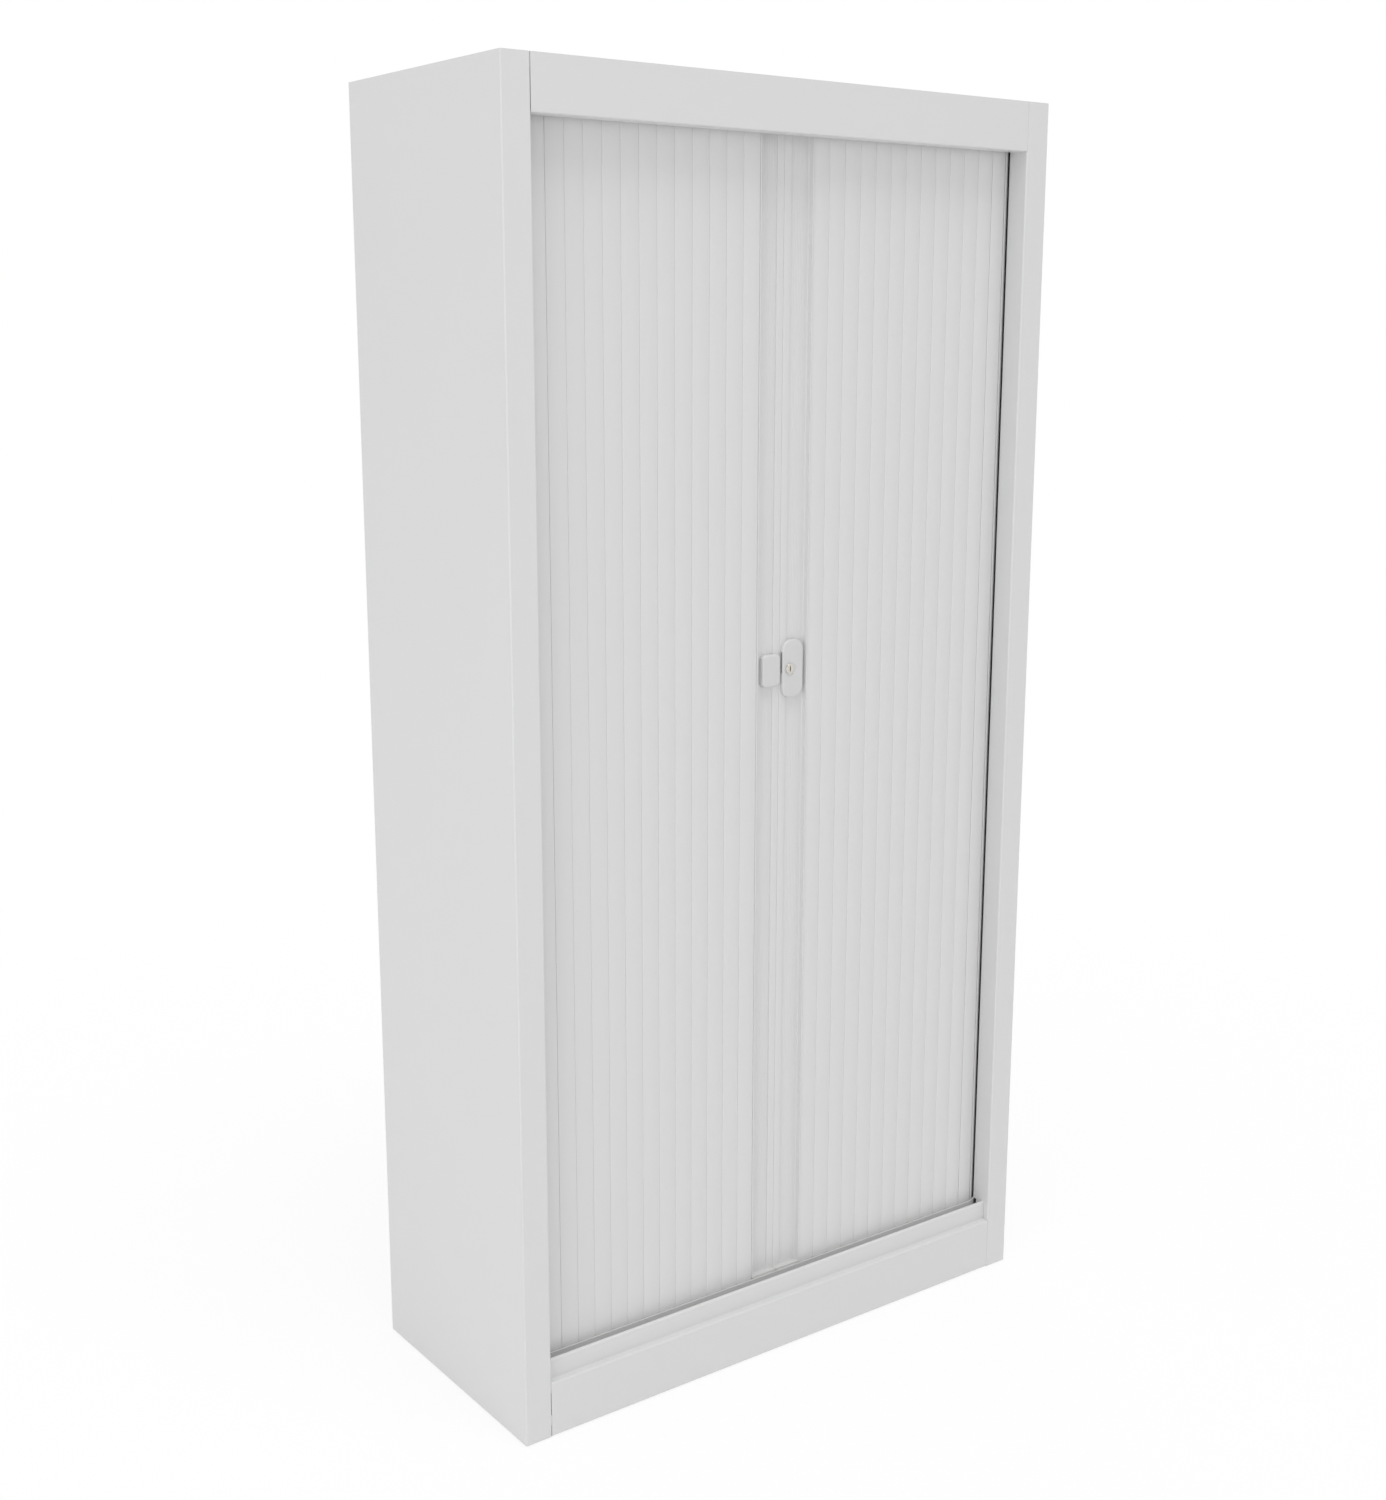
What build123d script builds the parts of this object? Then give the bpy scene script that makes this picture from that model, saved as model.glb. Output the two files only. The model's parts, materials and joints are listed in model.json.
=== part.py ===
from build123d import *
import math
import os

# A side-opening tambour door cabinet in folded sheet steel, in millimetres.
# The origin is on the floor under the middle of the cabinet, X is to the right, the front faces -Y.
# Depths are measured back from the front face of the corner stiles. The right-hand pieces are drawn,
# and the left-hand ones are their mirror images.

# Overall sizes
overall_width = 1000.0
overall_depth = 430.0
overall_height = 1980.0
foot_projection = 2.0

# Folded sheet
sheet = 1.2
fold_radius = 1.2
seam = 0.2

# Casing
stile_width = 45.0
stile_lip = 12.0
stile_lip_gap = 0.5
stile_slat_gap = 0.6
back_flange = 20.0
header_height = 75.0
header_upturn = 12.0
header_setback = 2.0
plinth_height = 90.0
ledge_depth = 11.0
fascia_height = 32.0
fascia_hem = 4.0
plinth_return = 25.0
floor_level = 108.0
ceiling_drop = 50.0
pan_flange = 20.0
service_hole_radius = 8.0
service_margin = 10.0

# Tambour slats and the beads that hinge them
slat_pitch = 30.4
slat_cover = 20.0
slat_thickness = 6.5
slat_chamfer = 3.0
slat_recess = 33.0
slat_wall = 1.1
hinge_setback = 0.9
bead_radius = 1.3
bead_sides = 8
bead_clearance = 0.25
neck_thickness = 1.0
mouth_front_angle = 24.0
mouth_back_angle = 58.0
joint_gap = 0.3

# Path of the slats and the room that the open shutter leaves behind it
corner_radius = 50.0
pocket_inset = 20.0
pocket_reserve = 15.0

# Tracks
track_wall = 2.4
track_floor = 2.4
lower_track_height = 12.0
upper_track_height = 14.0
groove_clearance = 0.35
slat_foot_clearance = 0.4
slat_head_clearance = 2.0
stop_width = 7.0
stop_clearance = 0.5

# Leading profiles, with the grip recess down their whole height
leading_width = 52.0
meeting_gap = 0.8
grip_depth = 10.0
leading_box_depth = 9.5
leading_wall = 1.8
meeting_lip_width = 13.0
meeting_lip_height = 2.0
runner_clearance = 0.5
runner_plate = 3.0
runner_plug = 16.0
runner_inset = 4.0

# Lock, strike and the hook that joins them
lock_height = 1122.0
lock_width = 41.0
lock_length = 90.0
lock_corner = 17.0
strike_width = 35.0
strike_length = 50.0
strike_corner = 8.0
housing_inset = 2.0
housing_depth = 8.5
housing_wall = 2.0
housing_bevel = 1.2
cylinder_inset = 16.0
cylinder_radius = 8.0
cylinder_flange = 1.8
cylinder_flange_thickness = 1.0
cylinder_proud = 1.5
turning_clearance = 0.05
keyway_width = 2.2
keyway_height = 9.0
keyway_depth = 4.0
tail_size = 6.0
tail_length = 2.8
hook_thickness = 2.0
hook_bar = 9.0
hook_reach = 26.0
hook_drop = 9.0
hook_tooth = 5.0
hook_clearance = 0.2
slot_margin = 1.5

# Liners, uprights and shelves
liner_mouth = 16.0
liner_inset = 42.0
liner_flange = 10.0
back_clearance = 14.0
upright_width = 25.0
upright_depth = 6.0
upright_sheet = 1.5
upright_setback = 22.0
slot_pitch = 90.0
slot_width = 12.0
slot_height = 5.0
slot_start = 90.0
shelf_count = 4
shelf_thickness = 25.0
shelf_edge_gap = 12.0
shelf_setback = 5.0
shelf_hem = 12.0
clip_thickness = 2.0
clip_width = 20.0
clip_ledge = 16.0
clip_leg = 24.0
clip_tongue = 3.5

# Levelling feet and their brackets
bracket_edge = 5.0
bracket_thickness = 3.0
bracket_flange = 18.0
bracket_level = 26.0
boss_radius = 9.0
boss_height = 12.0
foot_inset = 36.0
foot_pad_radius = 16.0
foot_pad_height = 7.0
stud_radius = 5.0
stud_top = 62.0
stud_slot_width = 1.6
stud_slot_depth = 3.0

# Values worked out from the sizes above
half_width = overall_width / 2
opening_half = half_width - stile_width
front_reach = slat_thickness / 2 + hinge_setback
back_reach = slat_thickness / 2 - hinge_setback
end_reach = back_reach + joint_gap
slat_line = slat_recess + front_reach
slat_count = math.ceil((opening_half + slat_cover - leading_width) / slat_pitch)
pocket_line = half_width - pocket_inset
corner_start = pocket_line - corner_radius
corner_end_depth = slat_line + corner_radius
corner_arc = corner_radius * math.pi / 2
track_front = slat_recess - groove_clearance - track_wall
ceiling_level = overall_height - ceiling_drop
header_bottom = overall_height - header_height
fascia_top = plinth_height + fascia_height
lower_track_top = floor_level + lower_track_height
upper_track_bottom = ceiling_level - upper_track_height
slat_bottom = floor_level + track_floor + slat_foot_clearance
slat_top = ceiling_level - track_floor - slat_head_clearance
leading_bottom = lower_track_top + runner_clearance + runner_plate
leading_top = upper_track_bottom - runner_clearance - runner_plate
grip_face = slat_recess + grip_depth
leading_outer = leading_width - end_reach
leading_box = leading_outer - leading_wall
housing_back = grip_face
housing_front = grip_face - housing_depth
hook_front = housing_front + housing_wall + cylinder_flange_thickness + 2 * hook_clearance
liner_x = half_width - liner_inset
liner_front = slat_line + corner_radius / 2 + liner_mouth
liner_back = overall_depth - back_clearance
pocket_run = corner_start + corner_arc + liner_back - corner_end_depth
curtain_length = leading_width + slat_count * slat_pitch
shutter_travel = min(pocket_run - curtain_length - pocket_reserve, opening_half - leading_width)
upright_face = liner_x - upright_depth
shelf_half = liner_x - shelf_edge_gap
shelf_front = liner_front + shelf_setback
shelf_back = liner_back - seam
stile_rear = track_front - stile_lip_gap
slat_sweep = math.sqrt((corner_radius + front_reach) ** 2 - (opening_half - corner_start) ** 2)
stile_return = corner_end_depth - slat_sweep - stile_slat_gap
inner_half = half_width - 2 * (sheet + seam)
inner_back = overall_depth - 2 * (sheet + seam)
bracket_front = stile_rear + seam
foot_x = liner_x - liner_flange - service_margin - service_hole_radius
foot_depths = (bracket_front + foot_inset, inner_back - foot_inset)


def place_y(depth):
    """The Y of a depth behind the front of the stiles."""
    return depth - overall_depth / 2


def plan(points):
    """Points given as (x, depth), turned to the plan's X and Y."""
    return [(x, place_y(depth)) for x, depth in points]


def rectangle(x0, x1, d0, d1):
    """A rectangle of the plan between two x and two depths."""
    return Pos((x0 + x1) / 2, place_y((d0 + d1) / 2)) * Rectangle(x1 - x0, d1 - d0)


def upright_prism(section, bottom, top):
    """A plan section carried straight up from one height to another."""
    return extrude(Pos(0, 0, bottom) * section, top - bottom)


def beside(points, reach):
    """The corners of the line that runs a reach to the left of a polyline."""
    steps = [(Vector(*b) - Vector(*a)).normalized() for a, b in zip(points, points[1:])]
    lefts = [Vector(-step.Y, step.X) for step in steps]
    found = []
    for point, before, after in zip(points, lefts[:1] + lefts, lefts + lefts[-1:]):
        mitre = (before + after) * (reach / (1 + before.dot(after)))
        found.append(Vector(*point) + mitre)
    return found


def folded(points, thickness=sheet, radius=fold_radius):
    """The section of a sheet folded along a middle line, with every fold rounded on both faces."""
    half = thickness / 2
    edges = []
    ends = []
    for reach in (half, -half):
        corners = beside(points, reach)
        radii = []
        for a, b, c in zip(corners, corners[1:], corners[2:]):
            turn = (b - a).cross(c - b).Z
            radii.append(radius + half - math.copysign(reach, reach * turn))
        edges.append(FilletPolyline(*corners, radius=radii))
        ends.append((corners[0], corners[-1]))
    (start_left, end_left), (start_right, end_right) = ends
    return make_face([*edges, Line(start_left, start_right), Line(end_left, end_right)])


def across(section, half_length):
    """A section drawn as (depth, height), carried along X to both sides of the middle."""
    plane = Plane(origin=(-half_length, place_y(0), 0), x_dir=(0, 1, 0), z_dir=(1, 0, 0))
    return extrude(plane * section, 2 * half_length)


def block(x0, x1, d0, d1, z0, z1):
    """A box between two x, two depths and two heights."""
    return Pos((x0 + x1) / 2, place_y((d0 + d1) / 2), (z0 + z1) / 2) * Box(x1 - x0, d1 - d0, z1 - z0)


def rod(x, depth, z0, z1, radius):
    """An upright cylinder."""
    return Pos(x, place_y(depth), (z0 + z1) / 2) * Cylinder(radius, z1 - z0)


def barrel(x, z, d0, d1, radius):
    """A cylinder that runs from front to back."""
    return Pos(x, place_y((d0 + d1) / 2), z) * Rot(90, 0, 0) * Cylinder(radius, d1 - d0)


def mirrored(shape):
    """The same piece for the left-hand side."""
    return mirror(shape, about=Plane.YZ)


def path_point(length):
    """The (x, depth) of the slat path, that far from the middle: straight, a quarter turn, then straight."""
    if length <= corner_start:
        return length, slat_line
    if length <= corner_start + corner_arc:
        turn = (length - corner_start) / corner_radius
        x = corner_start + corner_radius * math.sin(turn)
        return x, corner_end_depth - corner_radius * math.cos(turn)
    return pocket_line, corner_end_depth + length - corner_start - corner_arc


def next_pivot(length):
    """How far along the path the next bead lies, one slat pitch away in a straight line."""
    low, high = length, length + 2 * slat_pitch
    start = path_point(length)
    for _ in range(60):
        middle = (low + high) / 2
        if math.dist(start, path_point(middle)) < slat_pitch:
            low = middle
        else:
            high = middle
    return (low + high) / 2


def slat_places(travel=0.0):
    """Each slat's ((x, depth) of its socket, turn in degrees) with the shutter opened by a travel."""
    places = []
    length = leading_width + travel
    for _ in range(slat_count):
        onward = next_pivot(length)
        here = path_point(length)
        there = path_point(onward)
        places.append((here, math.degrees(math.atan2(there[1] - here[1], there[0] - here[0]))))
        length = onward
    return places


def bead_section(root):
    """The neck and many-sided bead that end a slat or a profile, with the bead's centre at the origin."""
    neck = Pos(-root / 2, 0) * Rectangle(root, neck_thickness)
    return neck + RegularPolygon(bead_radius, bead_sides, rotation=180 / bead_sides)


def slat_section():
    """An extruded slat: a hollow body, a socket at the origin that opens backwards, and a bead a pitch on."""
    body_end = slat_pitch - end_reach
    corner = back_reach * math.tan(math.pi / 8)
    outline = [
        (slat_chamfer - back_reach, -front_reach),
        (body_end - slat_chamfer, -front_reach),
        (body_end, slat_chamfer - front_reach),
        (body_end, back_reach),
        (-corner, back_reach),
        (-back_reach, corner),
        (-back_reach, slat_chamfer - front_reach),
    ]
    body = make_face(Polyline(*outline, close=True))
    front = math.radians(mouth_front_angle)
    back = math.radians(mouth_back_angle)
    reach = 2 * slat_thickness
    front_ray = (-reach * math.cos(front), -reach * math.sin(front))
    back_ray = (-reach * math.cos(back), reach * math.sin(back))
    mouth = make_face(Polyline((0, 0), front_ray, back_ray, close=True))
    socket_reach = bead_radius + bead_clearance
    socket = RegularPolygon(socket_reach, bead_sides, major_radius=False, rotation=180 / bead_sides)
    core_start = socket_reach + 2 * slat_wall
    core_end = body_end - slat_chamfer
    core_centre = ((core_start + core_end) / 2, (back_reach - front_reach) / 2)
    core = Pos(*core_centre) * Rectangle(core_end - core_start, slat_thickness - 2 * slat_wall)
    bead = Pos(slat_pitch, 0) * bead_section(end_reach + slat_wall)
    return body - socket - mouth - core + bead


def slat(section, place):
    """One slat of the right-hand shutter, stood up at its place on the path."""
    (x, depth), turn = place
    stood = Pos(x, place_y(depth)) * Rot(0, 0, turn) * section
    return upright_prism(stood, slat_bottom, slat_top)


def leading_sections():
    """The plans of a leading profile's extrusions: a hollow box, the meeting lip on it and the grip strip."""
    edge = meeting_gap / 2
    wall = leading_wall
    back = grip_face + leading_box_depth
    hollow = rectangle(edge + wall, leading_box - wall, grip_face + wall, back - wall)
    box = rectangle(edge, leading_box, grip_face, back) - hollow
    lip = rectangle(edge, meeting_lip_width, grip_face - meeting_lip_height, grip_face)
    strip = rectangle(leading_box, leading_outer, slat_recess, back)
    strip = fillet(strip.vertices().sort_by(Axis.Y)[:2], wall * 0.45)
    bead = Pos(leading_width, place_y(slat_line)) * bead_section(end_reach + wall / 2)
    return box, lip, strip + bead


def leading_profile():
    """The stiff edge of a shutter, which carries the grip and the lock."""
    return [upright_prism(section, leading_bottom, leading_top) for section in leading_sections()]


def runners():
    """The end shoes of a leading profile: a plate with a tongue in the groove, and a plug in the box."""
    edge = meeting_gap / 2
    back = grip_face + leading_box_depth
    plug_x0 = edge + leading_wall + seam
    plug_x1 = leading_box - leading_wall - seam
    plug_d0 = grip_face + leading_wall + seam
    plug_d1 = back - leading_wall - seam
    tongue_x0 = runner_inset
    tongue_x1 = leading_outer - runner_inset
    tongue_d0 = slat_recess
    tongue_d1 = slat_recess + slat_thickness
    plate_foot = lower_track_top + runner_clearance
    plate_head = upper_track_bottom - runner_clearance
    shoes = []
    for plate, inner, tip in ((plate_foot, leading_bottom, slat_bottom), (plate_head, leading_top, slat_top)):
        plug = inner + math.copysign(runner_plug, inner - plate)
        shoe = block(edge, leading_outer, slat_recess, back, *sorted((plate, inner)))
        shoe += block(tongue_x0, tongue_x1, tongue_d0, tongue_d1, *sorted((tip, plate)))
        shoes += [shoe, block(plug_x0, plug_x1, plug_d0, plug_d1, *sorted((inner, plug)))]
    return shoes


def housing(width, length, corner):
    """A moulded housing in the grip recess, open at the back, that straddles the meeting lip."""
    x0 = housing_inset
    centre = (x0 + width / 2, lock_height)
    outline = RectangleRounded(width, length, corner)
    plane = Plane(origin=(centre[0], place_y(housing_back), centre[1]), x_dir=(1, 0, 0), z_dir=(0, -1, 0))
    shell = extrude(plane * outline, housing_depth)
    shell = chamfer(shell.faces().sort_by(Axis.Y)[0].edges(), housing_bevel)
    inner = Rectangle(width - 2 * housing_wall, length - 2 * housing_wall)
    inner = chamfer(inner.vertices(), (corner - housing_wall) * 0.6)
    shell -= extrude(plane * inner, housing_depth - housing_wall)
    lip_face = grip_face - meeting_lip_height - seam
    lip_cut = block(0, meeting_lip_width + seam, lip_face, grip_face + seam, 0, overall_height)
    return shell - lip_cut


def hook_slot(x0, x1, low, high):
    """The space that the hook sweeps through the meeting wall of a housing."""
    d0 = hook_front - hook_clearance - slot_margin / 2
    d1 = hook_front + hook_thickness + hook_clearance
    return block(x0, x1, d0, d1, lock_height + low, lock_height + high)


def lock_housing():
    """The right-hand housing, with the cylinder's hole and the slot that the hook comes out of."""
    shell = housing(lock_width, lock_length, lock_corner)
    radius = cylinder_radius + turning_clearance
    shell -= barrel(cylinder_inset, lock_height, housing_front - 1, housing_front + housing_wall + 1, radius)
    inner_face = cylinder_inset - housing_inset - housing_wall
    swing = math.hypot(hook_reach, hook_drop)
    high = math.sqrt(swing**2 - inner_face**2) + slot_margin
    low = -hook_bar / 2 - slot_margin
    return shell - hook_slot(0, housing_inset + housing_wall + seam, low, high)


def strike_housing():
    """The left-hand housing, whose slot the hook drops into and whose wall it grips."""
    shell = housing(strike_width, strike_length, strike_corner)
    outer_face = cylinder_inset + housing_inset
    swing = math.hypot(hook_reach, hook_drop)
    high = math.sqrt(swing**2 - outer_face**2) + slot_margin
    low = -hook_bar / 2 - slot_margin
    return mirrored(shell - hook_slot(0, housing_inset + housing_wall + seam, low, high))


def lock_cylinder():
    """The turning barrel: a proud face with a keyway, a hexagonal flange behind it and a square tail."""
    wall_back = housing_front + housing_wall
    flange_back = wall_back + hook_clearance + cylinder_flange_thickness
    x = cylinder_inset
    body = barrel(x, lock_height, housing_front - cylinder_proud, flange_back, cylinder_radius)
    flange = RegularPolygon(cylinder_radius + cylinder_flange, 6)
    plane = Plane(origin=(x, place_y(flange_back), lock_height), x_dir=(1, 0, 0), z_dir=(0, -1, 0))
    body += extrude(plane * flange, cylinder_flange_thickness)
    tail = tail_size / 2
    tail_back = flange_back + tail_length
    body += block(x - tail, x + tail, flange_back, tail_back, lock_height - tail, lock_height + tail)
    key_x = keyway_width / 2
    key_z = keyway_height / 2
    key_d0 = housing_front - cylinder_proud - 1
    key_d1 = housing_front - cylinder_proud + keyway_depth
    return body - block(x - key_x, x + key_x, key_d0, key_d1, lock_height - key_z, lock_height + key_z)


def lock_hook():
    """The flat hook on the tail, drawn unlocked: it points up, and its tooth points at the other shutter."""
    half = hook_bar / 2
    outline = [
        (-half, -half),
        (half, -half),
        (half, hook_reach),
        (-hook_drop, hook_reach),
        (-hook_drop, hook_reach - hook_tooth),
        (-half, hook_reach - hook_tooth),
    ]
    face = make_face(Polyline(*outline, close=True))
    rounded = face.vertices().sort_by(Axis.Y)[:2] + face.vertices().sort_by(Axis.X)[-1:]
    face = fillet(rounded, hook_bar * 0.3)
    face -= Rectangle(tail_size + hook_clearance, tail_size + hook_clearance)
    origin = (cylinder_inset, place_y(hook_front + hook_thickness), lock_height)
    plane = Plane(origin=origin, x_dir=(1, 0, 0), z_dir=(0, -1, 0))
    return extrude(plane * face, hook_thickness)


def lane(outer, inner, bend_inner, start, end_depth):
    """The plan of a strip along the slat path, set by its reach to each side, wider inside near the bend."""
    front = slat_line - outer
    side = pocket_line + outer
    strip = rectangle(start, corner_start, front, slat_line + inner)
    strip += rectangle(corner_start - slat_pitch, corner_start, front, slat_line + bend_inner)
    strip += rectangle(pocket_line - inner, side, corner_end_depth, end_depth)
    strip += rectangle(pocket_line - bend_inner, side, corner_end_depth, corner_end_depth + slat_pitch)
    reach = corner_radius + outer
    ring = Circle(reach) - Circle(corner_radius - bend_inner)
    quarter = Pos(reach / 2, -reach / 2) * Rectangle(reach, reach)
    return strip + Pos(corner_start, place_y(corner_end_depth)) * (ring & quarter)


def track(level, height, groove_up):
    """One moulded track: a channel along the slat path, closed behind the open shutter's last slat."""
    chord_sag = corner_radius - math.sqrt(corner_radius**2 - (slat_pitch / 2) ** 2)
    outer = front_reach + groove_clearance
    inner = back_reach + groove_clearance
    wall = track_wall
    (_, tail_depth), _ = slat_places(shutter_travel)[-1]
    groove_end = tail_depth + slat_pitch + bead_radius + stop_clearance
    body = lane(outer + wall, inner + wall, inner + chord_sag + wall, seam / 2, liner_back)
    groove = lane(outer, inner, inner + chord_sag, -1, groove_end)
    low, high = sorted((level, level + (height if groove_up else -height)))
    cut_low = low + track_floor if groove_up else low - 1
    cut_high = high + 1 if groove_up else high - track_floor
    return upright_prism(body, low, high) - upright_prism(groove, cut_low, cut_high)


def pair(shape):
    """A right-hand piece and its mirror image, as the separate solids of one node."""
    return [shape, mirrored(shape)]


def centre_stops():
    """The blocks in the grooves that the runners meet in the middle."""
    half = stop_width / 2
    low = floor_level + track_floor
    high = ceiling_level - track_floor
    levels = ((low, lower_track_top - stop_clearance), (upper_track_bottom + stop_clearance, high))
    return [block(-half, half, slat_recess, slat_recess + slat_thickness, z0, z1) for z0, z1 in levels]


def side_panel():
    """The right-hand side: one folded sheet with the front stile, its return and lip, and a back flange."""
    half = sheet / 2
    edge = half_width - half
    lip_line = stile_return - half
    points = plan(
        [
            (half_width - back_flange, overall_depth - half),
            (edge, overall_depth - half),
            (edge, half),
            (opening_half + half, half),
            (opening_half + half, lip_line),
            (opening_half + stile_lip, lip_line),
        ]
    )
    panel = upright_prism(folded(points), foot_projection, overall_height)
    x0 = opening_half - 1
    x1 = half_width - sheet - fold_radius
    panel -= block(x0, x1, stile_rear, stile_return + 1, 0, lower_track_top + seam)
    panel -= block(x0, x1, stile_rear, stile_return + 1, upper_track_bottom - seam, overall_height + 1)
    return panel - block(x0, x1, sheet, track_front, overall_height - pan_flange - seam, overall_height + 1)


def back_panel():
    """The back sheet, inside the side panels' back flanges, with stiffening folds at its edges."""
    half = sheet / 2
    depth = overall_depth - sheet - seam - half
    edge = half_width - sheet - seam - half
    turn = depth - stile_lip
    points = plan([(-edge, turn), (-edge, depth), (edge, depth), (edge, turn)])
    return upright_prism(folded(points), foot_projection, overall_height - sheet - pan_flange - seam)


def pan(x_half, d0, d1, face_level, flange_up, flange):
    """A tray of folded sheet: one flat face and four flanges, turned up or down, with trimmed corners."""
    low, high = sorted((face_level, face_level + (flange if flange_up else -flange)))
    skin_low = face_level + sheet if flange_up else low - 1
    skin_high = high + 1 if flange_up else face_level - sheet
    hollow = block(sheet - x_half, x_half - sheet, d0 + sheet, d1 - sheet, skin_low, skin_high)
    outer = block(-x_half, x_half, d0, d1, low, high)
    return chamfer(outer.edges().filter_by(Axis.Z), fold_radius) - hollow


def top_panel():
    """The top: a tray set flush between the side panels, behind the header."""
    half = half_width - sheet - seam
    return pan(half, sheet + seam, overall_depth - sheet - seam, overall_height, False, pan_flange)


def ceiling_panel():
    """The inner ceiling, which carries the upper tracks and closes the pockets."""
    return pan(inner_half, track_front, inner_back, ceiling_level, True, pan_flange)


def base_panel():
    """The cabinet floor, which carries the lower tracks, with a hole over each foot's screw slot."""
    front = ledge_depth + sheet + seam
    tray = pan(inner_half, front, inner_back, floor_level, False, pan_flange)
    for x in (-foot_x, foot_x):
        for depth in foot_depths:
            tray -= rod(x, depth, floor_level - 2 * sheet, floor_level + 1, service_hole_radius)
    for side in (-1, 1):
        x0, x1 = sorted((side * (opening_half - seam), side * half_width))
        tray -= block(x0, x1, 0, stile_rear + seam, 0, floor_level + 1)
    return tray


def header_rail():
    """The rail over the shutters: a face, a return under it and an upturn behind."""
    half = sheet / 2
    back = track_front - header_setback - half
    points = [
        (half, overall_height),
        (half, header_bottom + half),
        (back, header_bottom + half),
        (back, header_bottom + header_upturn),
    ]
    return across(folded(points), opening_half - seam)


def plinth_rail():
    """The plinth: a foot return, the face, the ledge and the set-back fascia with a hem on top."""
    half = sheet / 2
    points = [
        (plinth_return, foot_projection + half),
        (half, foot_projection + half),
        (half, plinth_height - half),
        (ledge_depth + half, plinth_height - half),
        (ledge_depth + half, fascia_top - half),
        (ledge_depth + half + fascia_hem, fascia_top - half),
    ]
    return across(folded(points), opening_half - seam)


def liner():
    """The wall between the shelves and the right-hand pocket, flanged inwards at both ends."""
    x0 = liner_x - liner_flange
    front = liner_front + sheet
    back = liner_back - sheet
    wall = block(x0, liner_x + sheet, liner_front, liner_back, floor_level, ceiling_level)
    return wall - block(x0 - 1, liner_x, front, back, floor_level - 1, ceiling_level + 1)


def upright_depths():
    """The middle depths of the front and back shelf uprights."""
    offset = sheet + upright_setback + upright_width / 2
    return liner_front + offset, liner_back - offset


def slot_levels():
    """The heights of the slots up an upright."""
    count = int((ceiling_level - floor_level - 2 * slot_start) / slot_pitch) + 1
    return [floor_level + slot_start + n * slot_pitch for n in range(count)]


def upright(depth):
    """A slotted channel on the right-hand liner."""
    reach = upright_width / 2
    inner = reach - upright_sheet
    back = upright_face + upright_sheet
    channel = block(upright_face, liner_x, depth - reach, depth + reach, floor_level, ceiling_level)
    channel -= block(back, liner_x + 1, depth - inner, depth + inner, floor_level - 1, ceiling_level + 1)
    cutter = Box(3 * upright_sheet, slot_width, slot_height)
    places = [Pos(upright_face, place_y(depth), level) for level in slot_levels()]
    return channel - [place * cutter for place in places]


def shelf_uprights():
    """The four slotted channels that the shelf clips hook into."""
    found = []
    for depth in upright_depths():
        found += pair(upright(depth))
    return found


def shelf_levels():
    """The height of the underside of each shelf, on the slots nearest to even spacing."""
    clear = ceiling_level - floor_level
    levels = []
    for n in range(1, shelf_count + 1):
        wanted = floor_level + n * clear / (shelf_count + 1) - shelf_thickness / 2
        slot = min(slot_levels(), key=lambda level: abs(level - wanted))
        levels.append(slot + slot_height / 2 + clip_thickness)
    return levels


def shelf(underside):
    """A tray shelf with its open side down and a hem along the front and back."""
    top = underside + shelf_thickness
    tray = pan(shelf_half, shelf_front, shelf_back, top, False, shelf_thickness)
    for d0, d1 in ((shelf_front, shelf_front + shelf_hem), (shelf_back - shelf_hem, shelf_back)):
        tray += block(-shelf_half, shelf_half, d0, d1, underside, underside + sheet)
    return tray


def shelf_clip(underside, depth):
    """A clip in a slot: a tongue through it with a drop behind, a leg down the upright and a ledge."""
    face = upright_face - seam
    top = underside
    d0 = depth - clip_width / 2
    d1 = depth + clip_width / 2
    ledge = block(face - clip_ledge, face, d0, d1, top - clip_thickness, top)
    leg = block(face - clip_thickness, face, d0, d1, top - clip_leg, top)
    tongue_half = slot_width / 2 - seam
    tongue_top = top - clip_thickness - seam
    tongue_low = tongue_top - slot_height + 2 * seam
    behind = upright_face + upright_sheet + seam
    tongue = block(face - clip_thickness, behind + clip_thickness, depth - tongue_half, depth + tongue_half,
                   tongue_low, tongue_top)
    drop = block(behind, behind + clip_thickness, depth - tongue_half, depth + tongue_half,
                 tongue_low - clip_tongue, tongue_top)
    return ledge + leg + tongue + drop


def shelf_clips():
    """Four clips under each shelf."""
    found = []
    for underside in shelf_levels():
        for depth in upright_depths():
            found += pair(shelf_clip(underside, depth))
    return found


def foot_bracket(depth):
    """A corner plate with two flanges and a hexagonal boss, tapped for a levelling foot."""
    toward_front = depth < overall_depth / 2
    outer_x = half_width - sheet - seam if toward_front else inner_half - fold_radius
    edge = bracket_front if toward_front else inner_back
    inner_x = foot_x - boss_radius - bracket_edge
    inward = math.copysign(boss_radius + bracket_edge, depth - edge)
    d0, d1 = sorted((edge, depth + inward))
    low = bracket_level
    plate = block(inner_x, outer_x, d0, d1, low, low + bracket_thickness)
    plate += block(outer_x - bracket_thickness, outer_x, d0, d1, low, low + bracket_flange)
    f0, f1 = sorted((edge, edge + math.copysign(bracket_thickness, inward)))
    plate += block(inner_x, outer_x, f0, f1, low, low + bracket_flange)
    boss = Pos(foot_x, place_y(depth)) * RegularPolygon(boss_radius, 6)
    plate += upright_prism(boss, low, low + boss_height)
    return plate - rod(foot_x, depth, low - 1, low + boss_height + 1, stud_radius + turning_clearance)


def foot_brackets():
    """The four corner brackets."""
    found = []
    for depth in foot_depths:
        found += pair(foot_bracket(depth))
    return found


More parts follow.
